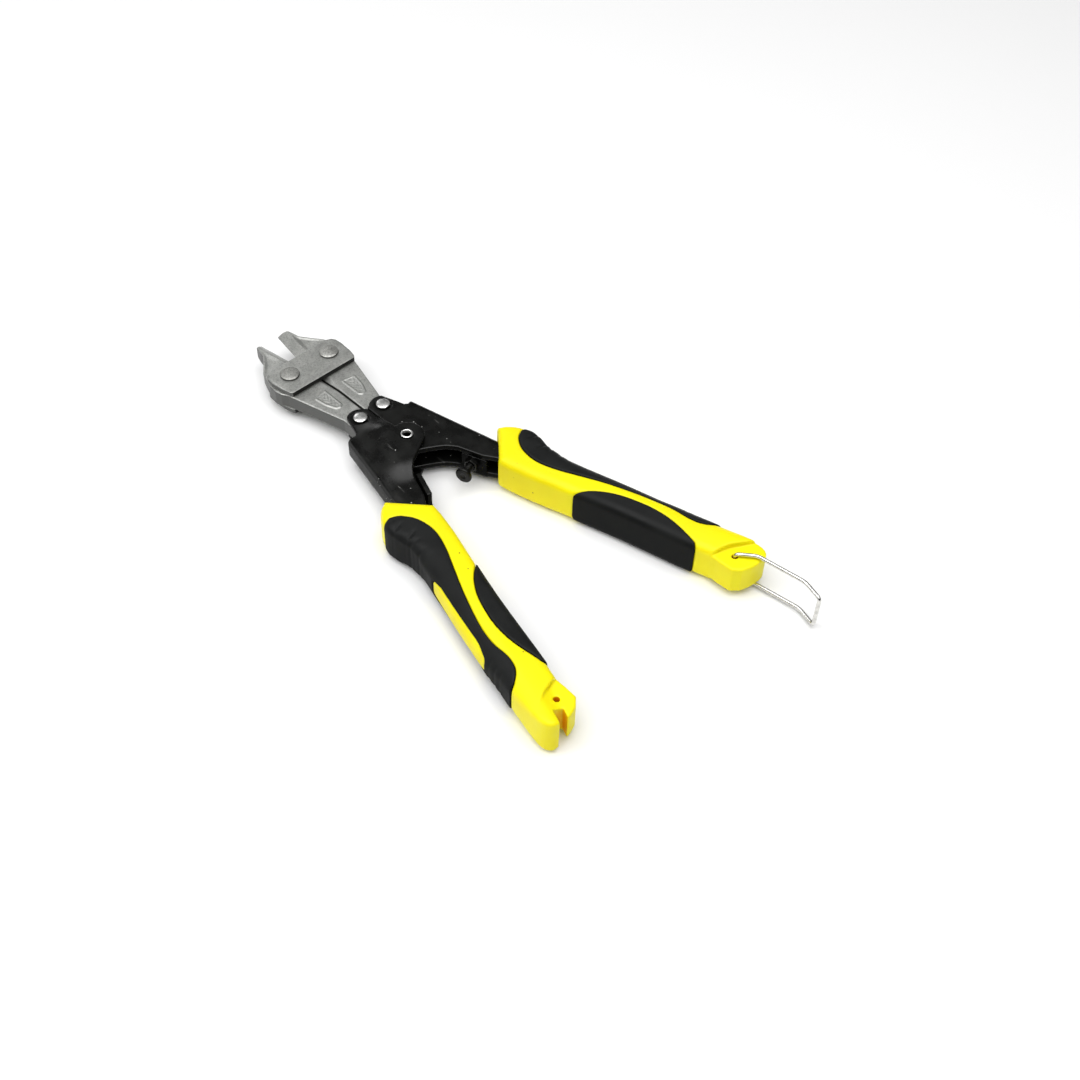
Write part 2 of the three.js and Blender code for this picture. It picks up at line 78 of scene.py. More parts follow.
# %% [markdown]
# ## Describing a solid by its distance
# Forged, pressed and moulded pieces all have soft edges that are hard to get with straight
# extrusions and bevels. A distance field describes a solid as a number at each point: negative
# inside, positive outside. Two fields are joined or cut with a smooth minimum or maximum, and the
# smoothing is the edge radius. That is why every rounded piece here is written as a field.


# %% Distance helpers
def smooth_line(points, spans=4):
    """Points on a Catmull-Rom curve through the given ones."""
    p = [points[0]] + list(points) + [points[-1]]
    out = []
    for i in range(1, len(p) - 2):
        a, b, c, d = (np.array(p[i + k], float) for k in (-1, 0, 1, 2))
        for t in np.arange(spans) / spans:
            tangent = (c - a) * t + (2 * a - 5 * b + 4 * c - d) * t**2 + (3 * b - a - 3 * c + d) * t**3
            out.append(tuple(b + 0.5 * tangent))
    out.append(tuple(points[-1]))
    return out


def arc_points(centre, radius, start, stop, steps=10):
    """Points on an arc, angles in degrees."""
    angles = np.radians(np.linspace(start, stop, steps + 1))
    return [(centre[0] + radius * math.cos(a), centre[1] + radius * math.sin(a)) for a in angles]


def outline_distance(points, x, y):
    """Signed distance to a closed outline, negative inside."""
    x, y = np.broadcast_arrays(x, y)
    nearest = np.full(x.shape, 1e9)
    inside = np.zeros(x.shape, bool)
    for (ax, ay), (bx, by) in zip(points, points[1:] + points[:1]):
        dx, dy = bx - ax, by - ay
        t = np.clip(((x - ax) * dx + (y - ay) * dy) / (dx * dx + dy * dy), 0, 1)
        nearest = np.minimum(nearest, (x - ax - t * dx) ** 2 + (y - ay - t * dy) ** 2)
        if ay != by:
            inside ^= ((ay > y) != (by > y)) & (x < dx * (y - ay) / dy + ax)
    return np.where(inside, -1, 1) * np.sqrt(nearest)


def both(a, b, radius=0.3):
    """Inside both solids, with a rounded edge where they meet."""
    blend = np.maximum(radius - np.abs(a - b), 0)
    return np.maximum(a, b) + blend * blend * 0.25 / radius


def either(a, b, radius=0.3):
    return -both(-a, -b, radius)


def minus(a, b, radius=0.3):
    return both(a, -b, radius)


def round_hole(x, y, centre, radius):
    return np.hypot(x - centre[0], y - centre[1]) - radius


def box_field(x, y, z, low, high):
    sides = [np.maximum(low[i] - q, q - high[i]) for i, q in enumerate((x, y, z))]
    return np.maximum(np.maximum(sides[0], sides[1]), sides[2])


def ramp(value, start, stop):
    """0 before start, 1 after stop, smooth between."""
    t = np.clip((value - start) / (stop - start), 0, 1)
    return t * t * (3 - 2 * t)


# %% [markdown]
# ## From a field to a mesh
# The field is sampled on a grid. Each cell that the surface crosses gets one vertex, and each grid
# edge that it crosses gets one four-sided face. Each vertex then slides along the field's slope
# onto the true surface, so flat faces come out flat and round ones smooth.


# %% Mesh a field
def net_of(field, low, high, step):
    counts = [int(math.ceil((high[i] - low[i]) / step)) + 1 for i in range(3)]
    axes = [low[i] + step * np.arange(counts[i]) for i in range(3)]
    values = field(axes[0][:, None, None], axes[1][None, :, None], axes[2][None, None, :])
    values = np.broadcast_to(values, counts)
    cells = [c - 1 for c in counts]
    size = cells[0] * cells[1] * cells[2]
    hits = np.zeros(size)
    sums = np.zeros((size, 3))
    faces = []
    for axis in range(3):
        first = [slice(None)] * 3
        second = [slice(None)] * 3
        first[axis] = slice(0, -1)
        second[axis] = slice(1, None)
        here, there = values[tuple(first)], values[tuple(second)]
        found = np.argwhere((here < 0) != (there < 0))
        a = here[tuple(found.T)]
        b = there[tuple(found.T)]
        at = found.astype(float)
        at[:, axis] += a / (a - b)
        corners = []
        for du, dv in ((0, 0), (1, 0), (1, 1), (0, 1)):
            cell = found.copy()
            cell[:, (axis + 1) % 3] -= du
            cell[:, (axis + 2) % 3] -= dv
            corners.append(np.ravel_multi_index(tuple(cell.T), cells))
        for ids in corners:
            hits += np.bincount(ids, minlength=size)
            for k in range(3):
                sums[:, k] += np.bincount(ids, weights=at[:, k], minlength=size)
        quads = np.stack(corners, axis=1)
        inward = a > 0
        quads[inward] = quads[inward][:, ::-1]
        faces.append(quads)
    used = np.flatnonzero(hits)
    number = np.zeros(size, int)
    number[used] = np.arange(len(used))
    points = sums[used] / hits[used][:, None] * step + np.array(low)
    return points, number[np.concatenate(faces)]


def settle(field, points, step, rounds=3):
    """Slides points along the field's slope onto its zero surface."""
    reach = 0.01
    for _ in range(rounds):
        value = field(*points.T)
        slope = np.zeros_like(points)
        for k in range(3):
            moved = points.copy()
            moved[:, k] += reach
            slope[:, k] = (field(*moved.T) - value) / reach
        length = np.maximum((slope**2).sum(axis=1), 0.2)
        shift = slope * (value / length)[:, None]
        points = points - np.clip(shift, -0.5 * step, 0.5 * step)
    return points


def piece_from(name, points, faces, place):
    """A finished object from points in millimetres; place turns them into the tool's metres."""
    placed, mirrored = place(np.asarray(points, float))
    if mirrored:
        faces = [face[::-1] for face in faces]
    mesh = bpy.data.meshes.new(name)
    mesh.from_pydata(placed.tolist(), [], [list(map(int, face)) for face in faces])
    mesh.update()
    mesh.shade_smooth()
    piece = bpy.data.objects.new(name, mesh)
    bpy.context.collection.objects.link(piece)
    return piece


def field_piece(name, field, low, high, step, place):
    step *= QUICK
    points, faces = net_of(field, low, high, step)
    points = settle(field, points, step)
    piece = piece_from(name, points, faces, place)
    print(name, len(points), "vertices")
    return piece


def in_tool(side):
    """Places a piece drawn in the tool's own plan, mirrored for the left side."""

    def place(points):
        moved = points * MM
        moved[:, 1] *= side
        return moved + np.array(PIVOT), side < 0

    return place


def in_handle(side):
    """Places a piece drawn in a handle's frame."""
    c, s = math.cos(HANDLE_OPEN), math.sin(HANDLE_OPEN)

    def place(points):
        moved = points * MM
        x = moved[:, 0] * c - moved[:, 1] * s
        y = (moved[:, 0] * s + moved[:, 1] * c) * side
        return np.stack([x, y, moved[:, 2]], axis=1) + np.array(PIVOT), side < 0

    return place


# %% [markdown]
# ## Camera, light and floor
# The tool lies on a pale floor under large soft lights. The camera looks down at about 48 degrees
# from the side of the handles, with a slightly long lens.

# %% Camera
CAMERA_AZIMUTH = math.radians(43.86)
CAMERA_ELEVATION = math.radians(48.13)
CAMERA_ROLL = math.radians(2.0)
CAMERA_DISTANCE = 0.5141
CAMERA_AIM = (-46.38 * MM, 31.89 * MM)
CAMERA_LENS = 48.86


def make_camera():
    back = Vector((
        math.sin(CAMERA_AZIMUTH) * math.cos(CAMERA_ELEVATION),
        -math.cos(CAMERA_AZIMUTH) * math.cos(CAMERA_ELEVATION),
        math.sin(CAMERA_ELEVATION),
    ))
    right = Vector((math.cos(CAMERA_AZIMUTH), math.sin(CAMERA_AZIMUTH), 0))
    up = back.cross(right)
    c, s = math.cos(CAMERA_ROLL), math.sin(CAMERA_ROLL)
    right, up = right * c + up * s, up * c - right * s
    data = bpy.data.cameras.new("camera")
    data.lens = CAMERA_LENS
    data.sensor_width = 36
    data.clip_start = 0.01
    camera = bpy.data.objects.new("camera", data)
    bpy.context.collection.objects.link(camera)
    turn = Matrix((right, up, back)).transposed()
    place = PIVOT + back * CAMERA_DISTANCE - right * CAMERA_AIM[0] - up * CAMERA_AIM[1]
    camera.matrix_world = Matrix.Translation(place) @ turn.to_4x4()
    bpy.context.scene.camera = camera


make_camera()
bpy.context.scene.view_settings.view_transform = "Standard"
print("camera at", tuple(round(v, 3) for v in bpy.context.scene.camera.matrix_world.translation))


# %% Lights, world and floor
def area_light(name, place, aim, size, power):
    data = bpy.data.lights.new(name, "AREA")
    data.shape = "RECTANGLE"
    data.size, data.size_y = size
    data.energy = power
    light = bpy.data.objects.new(name, data)
    light.location = place
    light.rotation_euler = (Vector(aim) - Vector(place)).to_track_quat("-Z", "Y").to_euler()
    bpy.context.collection.objects.link(light)


area_light("overhead", (0.15, -0.15, 1.0), (0, 0, 0), (1.3, 1.3), 14)
area_light("front_left", (-0.5, -0.7, 0.75), (0, 0, 0), (0.5, 0.5), 3.2)
area_light("back_rim", (-0.95, 0.35, 0.5), (0, 0, 0), (0.2, 0.4), 0.6)


def studio_world():
    """A dim room whose walls are darker than its ceiling, so bright metal shows its edges."""
    world = bpy.data.worlds.new("studio")
    world.use_nodes = True
    nodes, links = world.node_tree.nodes, world.node_tree.links
    way = nodes.new("ShaderNodeSeparateXYZ")
    links.new(nodes.new("ShaderNodeTexCoord").outputs["Generated"], way.inputs[0])
    band = nodes.new("ShaderNodeValToRGB")
    stops = ((0.0, 0.75), (0.08, 0.05), (0.45, 0.07), (0.75, 0.17), (1.0, 0.9))
    for _ in stops[2:]:
        band.color_ramp.elements.new(0.5)
    for element, (place, grey) in zip(band.color_ramp.elements, stops):
        element.position = place
        element.color = (grey, grey, grey, 1)
    links.new(way.outputs["Z"], band.inputs["Fac"])
    links.new(band.outputs["Color"], nodes["Background"].inputs["Color"])
    nodes["Background"].inputs["Strength"].default_value = 0.9
    bpy.context.scene.world = world


studio_world()
floor_mesh = bpy.data.meshes.new("floor")
floor_mesh.from_pydata([(-3, -3, 0), (3, -3, 0), (3, 3, 0), (-3, 3, 0)], [], [(0, 1, 2, 3)])
floor = bpy.data.objects.new("floor", floor_mesh)
bpy.context.collection.objects.link(floor)
floor.location.z = -0.0002


# %% [markdown]
# ## Finishes
# Every finish is procedural and reads Object coordinates, which are metres here, so a noise scale
# of 2000 makes grain of about half a millimetre.


# %% Material helpers
class Finish:
    """A material and the few nodes that all the finishes share."""

    def __init__(self, name, colour, roughness, metallic=0.0):
        self.material = bpy.data.materials.new(name)
        self.material.use_nodes = True
        self.tree = self.material.node_tree
        self.shader = self.tree.nodes["Principled BSDF"]
        self.shader.inputs["Base Color"].default_value = (*colour, 1)
        self.shader.inputs["Roughness"].default_value = roughness
        self.shader.inputs["Metallic"].default_value = metallic
        source = self.tree.nodes.new("ShaderNodeTexCoord")
        self.place = source.outputs["Object"]
        self.normal = source.outputs["Normal"]

    def link(self, source, target):
        self.tree.links.new(source, target)

    def noise(self, scale, detail=3.0, stretch=None):
        node = self.tree.nodes.new("ShaderNodeTexNoise")
        node.inputs["Scale"].default_value = scale
        node.inputs["Detail"].default_value = detail
        source = self.place
        if stretch:
            mapping = self.tree.nodes.new("ShaderNodeMapping")
            mapping.inputs["Scale"].default_value = stretch
            self.link(source, mapping.inputs["Vector"])
            source = mapping.outputs["Vector"]
        self.link(source, node.inputs["Vector"])
        return node.outputs["Fac"]

    def spots(self, scale, size):
        """1 in small round spots, one in each cell of a Voronoi pattern."""
        node = self.tree.nodes.new("ShaderNodeTexVoronoi")
        node.inputs["Scale"].default_value = scale
        self.link(self.place, node.inputs["Vector"])
        return self.fit(node.outputs["Distance"], size, size * 0.6)

    def fit(self, value, low, high, to_low=0.0, to_high=1.0):
        node = self.tree.nodes.new("ShaderNodeMapRange")
        names = ("From Min", "From Max", "To Min", "To Max")
        for socket, number in zip(names, (low, high, to_low, to_high)):
            node.inputs[socket].default_value = number
        self.link(value, node.inputs["Value"])
        return node.outputs["Result"]

    def times(self, a, b):
        node = self.tree.nodes.new("ShaderNodeMath")
        node.operation = "MULTIPLY"
        self.link(a, node.inputs[0])
        self.link(b, node.inputs[1])
        return node.outputs["Value"]

    def mixed(self, amount, first, second):
        node = self.tree.nodes.new("ShaderNodeMix")
        node.data_type = "RGBA"
        self.link(amount, node.inputs["Factor"])
        for socket, colour in ((node.inputs[6], first), (node.inputs[7], second)):
            if hasattr(colour, "links"):
                self.link(colour, socket)
            else:
                socket.default_value = (*colour, 1)
        return node.outputs[2]

    def flank(self, top, side):
        """One on an upright wall and zero on a flat face, between these two amounts of tilt."""
        parts = self.tree.nodes.new("ShaderNodeSeparateXYZ")
        self.link(self.normal, parts.inputs[0])
        level = self.tree.nodes.new("ShaderNodeMath")
        level.operation = "ABSOLUTE"
        self.link(parts.outputs["Z"], level.inputs[0])
        return self.fit(level.outputs["Value"], top, side)

    def colour(self, source):
        self.link(source, self.shader.inputs["Base Color"])

    def roughness(self, source):
        self.link(source, self.shader.inputs["Roughness"])

    def bump(self, *layers):
        """Bump from (height, depth in metres) pairs."""
        normal = None
        for height, depth in layers:
            node = self.tree.nodes.new("ShaderNodeBump")
            node.inputs["Strength"].default_value = 1.0
            node.inputs["Distance"].default_value = depth
            self.link(height, node.inputs["Height"])
            if normal:
                self.link(normal, node.inputs["Normal"])
            normal = node.outputs["Normal"]
        self.link(normal, self.shader.inputs["Normal"])


# %% The metals
def satin_steel(name, light, dark, roughness, dark_rear=False, wall=(0.6, 0.25), dents=0.00003):
    """Tumbled and ground steel: fine grain, soft clouds and a few darker pits.

    The upright flanks get painted shade, darker than the ground faces, and a piece with a
    dark rear has its face towards the handles painted near-black.
    """
    finish = Finish(name, light, roughness, 0.75)
    clouds = finish.noise(220, 4)
    grain = finish.noise(5200, 2)
    colour = finish.mixed(finish.fit(clouds, 0.35, 0.65), light, dark)
    colour = finish.mixed(finish.fit(grain, 0.54, 0.7, 0, 0.6), colour, tuple(c * 0.5 for c in dark))
    sand = finish.noise(1800, 4)
    colour = finish.mixed(finish.fit(sand, 0.47, 0.64, 0, 0.45), colour, tuple(c * 0.45 for c in dark))
    # Painted shade: the upright flanks are darkened towards a quarter of the dark tone.
    colour = finish.mixed(finish.flank(*wall), colour, tuple(c * 0.25 for c in dark))
    # The face whose normal points towards the handles is painted near-black.
    if dark_rear:
        facing = finish.tree.nodes.new("ShaderNodeSeparateXYZ")
        finish.link(finish.normal, facing.inputs[0])
        colour = finish.mixed(finish.fit(facing.outputs["X"], 0.75, 0.92), colour, (0.012, 0.012, 0.011))
    finish.colour(colour)
    finish.roughness(finish.fit(grain, 0.3, 0.7, roughness - 0.08, roughness + 0.1))
    finish.bump((grain, 0.000035), (clouds, 0.00008), (sand, dents))
    return finish.material


def bright_metal(name, colour, roughness, shade_walls=False):
    """Headed rivets and drawn wire: bright, with faint draw marks and dents.

    Its upright sides can be given painted shade, as round a rivet's head and down its bore.
    """
    finish = Finish(name, colour, roughness, 1.0)
    dents = finish.noise(900, 3)
    marks = finish.noise(6000, 2)
    shade = finish.mixed(finish.fit(dents, 0.4, 0.7), colour, tuple(c * 0.72 for c in colour))
    if shade_walls:
        # Painted shade: the upright sides are darkened almost to black.
        shade = finish.mixed(finish.flank(0.75, 0.35), shade, tuple(c * 0.05 for c in colour))
    finish.colour(shade)
    finish.roughness(finish.fit(marks, 0.3, 0.7, roughness, roughness + 0.14))
    finish.bump((dents, 0.00005), (marks, 0.000006))
    return finish.material


# %% Black paint
def black_paint():
    """Gloss black coat with orange peel, dust specks, pale chips and fine rubbed scratches."""
    finish = Finish("black_paint", (0.006, 0.006, 0.0055), 0.3)
    peel = finish.noise(1500, 2)
    patches = finish.noise(160, 3)
    specks = finish.times(finish.spots(420, 0.1), finish.fit(finish.noise(70, 1), 0.52, 0.6))
    lines = finish.noise(900, 2, (0.12, 1.0, 1.0))
    scratches = finish.times(finish.fit(lines, 0.7, 0.76), finish.fit(finish.noise(90, 1), 0.55, 0.65))
    colour = finish.mixed(finish.fit(patches, 0.4, 0.7), (0.002, 0.0021, 0.0018), (0.005, 0.0052, 0.0045))
    colour = finish.mixed(scratches, colour, (0.12, 0.12, 0.115))
    finish.colour(finish.mixed(specks, colour, (0.5, 0.5, 0.48)))
    finish.roughness(finish.fit(patches, 0.3, 0.7, 0.2, 0.38))
    gloss = finish.fit(finish.flank(0.7, 0.2), 0, 1, 0.34, 0.04)
    finish.link(gloss, finish.shader.inputs["Specular IOR Level"])
    finish.bump((peel, 0.00003))
    return finish.material


# %% The plastics
def hard_plastic():
    """Semi-gloss yellow moulding, slightly mottled, with a fine spark-eroded texture and painted orange shade
    in its hollows.
    """
    bright, deep = (0.9, 0.81, 0.004), (0.86, 0.74, 0.004)
    finish = Finish("yellow_plastic", bright, 0.42)
    clouds = finish.noise(60, 3)
    grain = finish.noise(4200, 2)
    dust = finish.times(finish.spots(210, 0.07), finish.fit(finish.noise(45, 1), 0.58, 0.64))
    colour = finish.mixed(finish.fit(clouds, 0.35, 0.7), bright, deep)
    colour = finish.mixed(dust, colour, (0.25, 0.18, 0.01))
    # Painted shade: hollows, slots and seams are tinted darker orange by an occlusion mask.
    shade = finish.tree.nodes.new("ShaderNodeAmbientOcclusion")
    shade.samples = 8
    shade.only_local = True
    shade.inputs["Distance"].default_value = 0.006
    finish.colour(finish.mixed(finish.fit(shade.outputs["AO"], 0.62, 0.2), colour, (0.75, 0.26, 0.002)))
    finish.roughness(finish.fit(clouds, 0.3, 0.7, 0.36, 0.5))
    finish.bump((grain, 0.000018), (clouds, 0.0001))
    shader = finish.shader.inputs
    shader["Specular IOR Level"].default_value = 0.2
    shader["Subsurface Weight"].default_value = 0.12
    shader["Subsurface Radius"].default_value = (1.0, 0.55, 0.1)
    shader["Subsurface Scale"].default_value = 0.0015
    return finish.material


def soft_rubber():
    """Soft black moulding with a matt grain and faint rubbed patches."""
    finish = Finish("black_rubber", (0.006, 0.0065, 0.0065), 0.58)
    gloss = finish.fit(finish.flank(0.8, 0.3), 0, 1, 0.2, 0.08)
    finish.link(gloss, finish.shader.inputs["Specular IOR Level"])
    rubbed = finish.noise(120, 4)
    grain = finish.noise(3600, 3)
    fresh, worn = (0.005, 0.0055, 0.0055), (0.009, 0.0098, 0.0095)
    finish.colour(finish.mixed(finish.fit(rubbed, 0.4, 0.7), fresh, worn))
    finish.roughness(finish.fit(rubbed, 0.3, 0.7, 0.5, 0.66))
    finish.bump((grain, 0.00003))
    return finish.material


# %% All the finishes
STEEL = satin_steel("forged_steel", (0.52, 0.525, 0.5), (0.4, 0.405, 0.385), 0.42)
PLATE = satin_steel("plate_steel", (0.5, 0.505, 0.48), (0.39, 0.395, 0.375), 0.4, True)
# True gives these rivets painted shade on the sides of their heads and down the pivot's bore.
RIVET = bright_metal("bright_rivet", (0.97, 0.97, 0.95), 0.26, True)
# The wall range here puts painted shade on the steep rims of the jaw rivets' domes.
SATIN_RIVET = satin_steel(
    "satin_rivet", (0.54, 0.54, 0.51), (0.3, 0.3, 0.28), 0.36, wall=(0.88, 0.55), dents=0.00015
)
WIRE_METAL = bright_metal("bright_wire", (0.74, 0.73, 0.7), 0.16)
BLACKENED = bright_metal("blackened_screw", (0.03, 0.03, 0.028), 0.32)
PAINT = black_paint()
YELLOW = hard_plastic()
RUBBER = soft_rubber()

floor_finish = Finish("pale_floor", (0.9, 0.9, 0.9), 0.9)
clouded = floor_finish.mixed(floor_finish.noise(3, 2), (0.9, 0.9, 0.9), (0.88, 0.88, 0.88))
floor_finish.colour(clouded)
floor.data.materials.append(floor_finish.material)
print("finishes:", len(bpy.data.materials))


def dress(piece, material, body, slot, *nodes):
    """Gives a piece its finish, its body and the CAD nodes it stands for."""
    piece.data.materials.clear()
    piece.data.materials.append(material)
    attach(piece, body)
    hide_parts(*nodes)


# %% [markdown]
# ## Jaws
# Each jaw is a drop forging: a pointed nose, a boss round its rivet and a tapering tail. The flat
# along the cutting edge and the chisel end are ground after forging, so they meet the soft
# forged faces in a crisp line.

# %% Jaws
JAW_OPEN = math.radians(8.7)
EDGE_CLEAR = 0.12
EDGE_LENGTH = 23.4
BEVEL_WIDTH = 3.2
PARTING = 0.4


def from_point(point, degrees, distance):
    angle = math.radians(degrees)
    return (point[0] + distance * math.cos(angle), point[1] + distance * math.sin(angle))


EDGE_FOOT = from_point((JAW_X, JAW_Y), -90 - math.degrees(JAW_OPEN), JAW_Y - EDGE_CLEAR)
EDGE_TIP = from_point(EDGE_FOOT, 180 - math.degrees(JAW_OPEN), EDGE_LENGTH)
JAW_OUTLINE = [
    EDGE_TIP,
    from_point(EDGE_TIP, 64, 3.6),
    (JAW_X - 19.8, JAW_Y - 1.1),
    (JAW_X - 17.2, JAW_Y - 0.6),
    (JAW_X - 13, JAW_Y + 2.4),
    (JAW_X - 9.8, JAW_Y + 4.9),
    (JAW_X - 6.5, JAW_Y + 6.2),
    (JAW_X - 2.4, JAW_Y + 7.5),
    (JAW_X + 1.2, JAW_Y + 7.9),
    (JAW_X + 4, JAW_Y + 7.4),
    (JAW_X + 6.4, JAW_Y + 6),
    (JAW_X + 30, JAW_Y - 0.3),
    *arc_points((TAIL_X, TAIL_Y), 4.3, 60, -88, 14),
    (TAIL_X - 1, PARTING),
    (EDGE_FOOT[0] + 2, PARTING),
    EDGE_FOOT,
]
PAD_OUTLINE = [
    (JAW_X + 13.6, JAW_Y - 4.8),
    (JAW_X + 14.6, JAW_Y - 0.2),
    (JAW_X + 19.5, JAW_Y - 1.0),
    (JAW_X + 23.2, JAW_Y - 2.6),
    (JAW_X + 23.5, JAW_Y - 3.8),
    (JAW_X + 22.8, JAW_Y - 4.7),
]


def jaw_field(x, y, z):
    height = np.abs(z)
    outline = outline_distance(JAW_OUTLINE, x, y)
    c, s = math.cos(JAW_OPEN), math.sin(JAW_OPEN)
    from_edge = (x - EDGE_TIP[0]) * s + (y - EDGE_TIP[1]) * c
    along = -(x - EDGE_FOOT[0]) * c + (y - EDGE_FOOT[1]) * s
    scoop = ramp(along, 7, 12) * (1 - ramp(along, 19.5, 23)) * ramp(from_edge, BEVEL_WIDTH, BEVEL_WIDTH + 2.2)
    top = JAW_HALF - 0.45 * scoop * (1 - 0.75 * ramp(-outline, 1.6, 0.4))
    solid = both(outline, height - top, 0.45)
    slope = (JAW_HALF - 0.1) / BEVEL_WIDTH
    bevel = (height - 0.1 - from_edge * slope) / math.hypot(1, slope)
    solid = both(solid, bevel, 0.08)
    tip = (height - 1.2 - (EDGE_LENGTH - along) * 0.9) / 1.35
    solid = both(solid, tip, 0.2)
    pad_edge = outline_distance(PAD_OUTLINE, x, y) - 0.6
    rim = 0.12 * (1 - ramp(np.abs(pad_edge + 0.5), 0.15, 0.45))
    rim = rim + 0.07 * np.sin(3.1 * x + 1.2 * np.sin(1.7 * y)) * np.sin(2.9 * y) * ramp(-pad_edge, 0.8, 1.2)
    pad = both(pad_edge, height - JAW_HALF - 0.2 - rim, 0.12)
    solid = either(solid, pad, 0.12)
    solid = minus(solid, round_hole(x, y, (JAW_X, JAW_Y), JAW_HOLE))
    return minus(solid, round_hole(x, y, (TAIL_X, TAIL_Y), TAIL_HOLE))


for side, label in ((1, "right"), (-1, "left")):
    low = (EDGE_TIP[0] - 2, -1, -JAW_HALF - 1.2)
    high = (TAIL_X + 6, JAW_Y + 10, JAW_HALF + 1.2)
    jaw = field_piece(f"{label}_jaw_forging", jaw_field, low, high, 0.22, in_tool(side))
    dress(jaw, STEEL, f"{label}_jaw", "forged_steel", f"{label}_jaw")

# %% [markdown]
# ## Link plates
# Two thick blanked plates hold the jaw rivets. Their ends are ground round and slightly
# chamfered; the edge towards the handles is left square.

# %% Link plates
PLATE_END = [
    (8.4, 5.2),
    (7.4, 5.9),
    (4, 6.7),
    (-1, 7.3),
    (-4.2, 7.0),
    (-6, 5.9),
    (-6.8, 3.8),
]
PLATE_OUTLINE = [(JAW_X + dx, JAW_Y + dy) for dx, dy in PLATE_END]
PLATE_OUTLINE += [(JAW_X + dx, -JAW_Y - dy) for dx, dy in reversed(PLATE_END)]
PLATE_TOP = CHEEK_INNER + SHEET


def plate_field(level):
    def field(x, y, z):
        outline = outline_distance(PLATE_OUTLINE, x, y)
        rear = x - JAW_X - PLATE_END[0][0]
        soft = 0.2 + 1.0 * ramp(-rear, 1.5, 9)
        up = z * level
        solid = both(outline, up - PLATE_TOP, soft)
        solid = both(solid, CHEEK_INNER - up, 0.2)
        for end in (1, -1):
            solid = minus(solid, round_hole(x, y, (JAW_X, end * JAW_Y), JAW_HOLE), 0.2)
        return solid

    return field


for level, label in ((1, "front"), (-1, "back")):
    bottom, top = sorted((level * (CHEEK_INNER - 0.6), level * (PLATE_TOP + 0.6)))
    low = (JAW_X - 8, -JAW_Y - 8.3, bottom)
    high = (JAW_X + 9.4, JAW_Y + 8.3, top)
    plate = field_piece(f"{label}_plate", plate_field(level), low, high, 0.25, in_tool(1))
    dress(plate, PLATE, "link_plates", "plate_steel", f"{label}_link_plate")

# %% [markdown]
# ## Handle channels
# Each handle is one pressed channel: two cheeks joined along the outside by a web, with ears in
# front that hold the tail rivet. The left cheeks are pressed outwards round the pivot so that
# they lie over the right ones; the press leaves a soft step, not a sharp one.

# %% Channel outline
PIVOT_BOSS = 6.2
CHEEK_EDGE = 4.4
WEB_START = -8.5
TANG_END = 58
BEND = 3.0


def web_face(u):
    return 17.9 - 0.125 * u


def to_handle(x, y):
    """A point of the tool's plan in the right handle's frame."""
    c, s = math.cos(HANDLE_OPEN), math.sin(HANDLE_OPEN)
    return (x * c + y * s, -x * s + y * c)


EAR = to_handle(TAIL_X, TAIL_Y)
NECK = to_handle(-PIVOT_BOSS, 0.2)
NECK_ANGLE = math.degrees(math.atan2(NECK[1], NECK[0]))
EAR_FRONT = to_handle(TAIL_X - 2.6, 0.2)
CHANNEL_OUTLINE = [
    EAR_FRONT,
    NECK,
    *arc_points((0, 0), PIVOT_BOSS, NECK_ANGLE + 12, 300, 16),
    *smooth_line([(5.6, -3.4), (10, 0.4), (13.6, 3), (17.5, CHEEK_EDGE)]),
    (27, CHEEK_EDGE),
    (33, CHEEK_EDGE + 1.4),
    (TANG_END, CHEEK_EDGE + 1.4),
    (TANG_END, 30),
    (WEB_START, 30),
    (WEB_START, EAR[1] + 4.6),
    (WEB_START - 1.2, EAR[1] + 3.9),
    *arc_points(EAR, 5, 125, 210, 10),
]


# %% Channel field
def channel_field(side):
    """The pressed channel in its handle's frame."""

    def field(u, v, w):
        height = np.abs(w)
        outline = outline_distance(CHANNEL_OUTLINE, u, v)
        outer = CHEEK_OUTER
        if side < 0:
            raised = ramp(u, -16, -6.5) * (1 - ramp(u, 10.8, 21)) * (1 - ramp(v, 6, 17))
            outer = CHEEK_OUTER + (RAISED_OUTER - CHEEK_OUTER) * raised
        from_web = v - web_face(u)
        solid = both(from_web, height - outer, BEND)
        solid = both(solid, outline, 0.35)
        room = both(from_web + SHEET, height - (outer - SHEET), 1.2)
        solid = minus(solid, room, 0.3)
        ring = np.hypot(u - EAR[0], v - EAR[1])
        recess = both(ring - 3.1, outer - 0.35 - height, 0.15)
        solid = minus(solid, recess, 0.15)
        solid = minus(solid, ring - TAIL_HOLE, 0.2)
        solid = minus(solid, np.hypot(u, v) - PIVOT_HOLE, 0.2)
        if side > 0:
            lug = box_field(u, v, w, (18.6, 4.6, -CHEEK_OUTER + 0.3), (28.6, 6.6, CHEEK_INNER - 0.6))
            solid = either(solid, lug + 0.1, 0.8)
            bore = np.maximum(np.hypot(u - STOP_U, w) - STOP_HOLE, np.abs(v - 5.6) - 3)
            return minus(solid, bore, 0.15)
        wall = box_field(u, v, w, (15, 1, -CHEEK_OUTER), (26, 3, CHEEK_INNER))
        root = box_field(u, v, w, (15, 1, -CHEEK_OUTER), (26, 6.4, -CHEEK_INNER))
        return either(solid, either(wall, root, 0.8) + 0.1, 0.5)

    return field


for side, label in ((1, "right"), (-1, "left")):
    low = (EAR[0] - 7, -PIVOT_BOSS - 1.5, -RAISED_OUTER - 1)
    high = (TANG_END + 1, 20.5, RAISED_OUTER + 1)
    channel = field_piece(f"{label}_channel", channel_field(side), low, high, 0.4, in_handle(side))
    dress(channel, PAINT, f"{label}_handle", "black_paint", f"{label}_handle_channel")

# %% [markdown]
# ## Grips
# Each grip is moulded in two shots: a hard yellow shell first, then soft black pieces in shallow
# pockets, standing a little proud of it. The soft pieces share the shell's own field, so their
# skins run on smoothly from it.

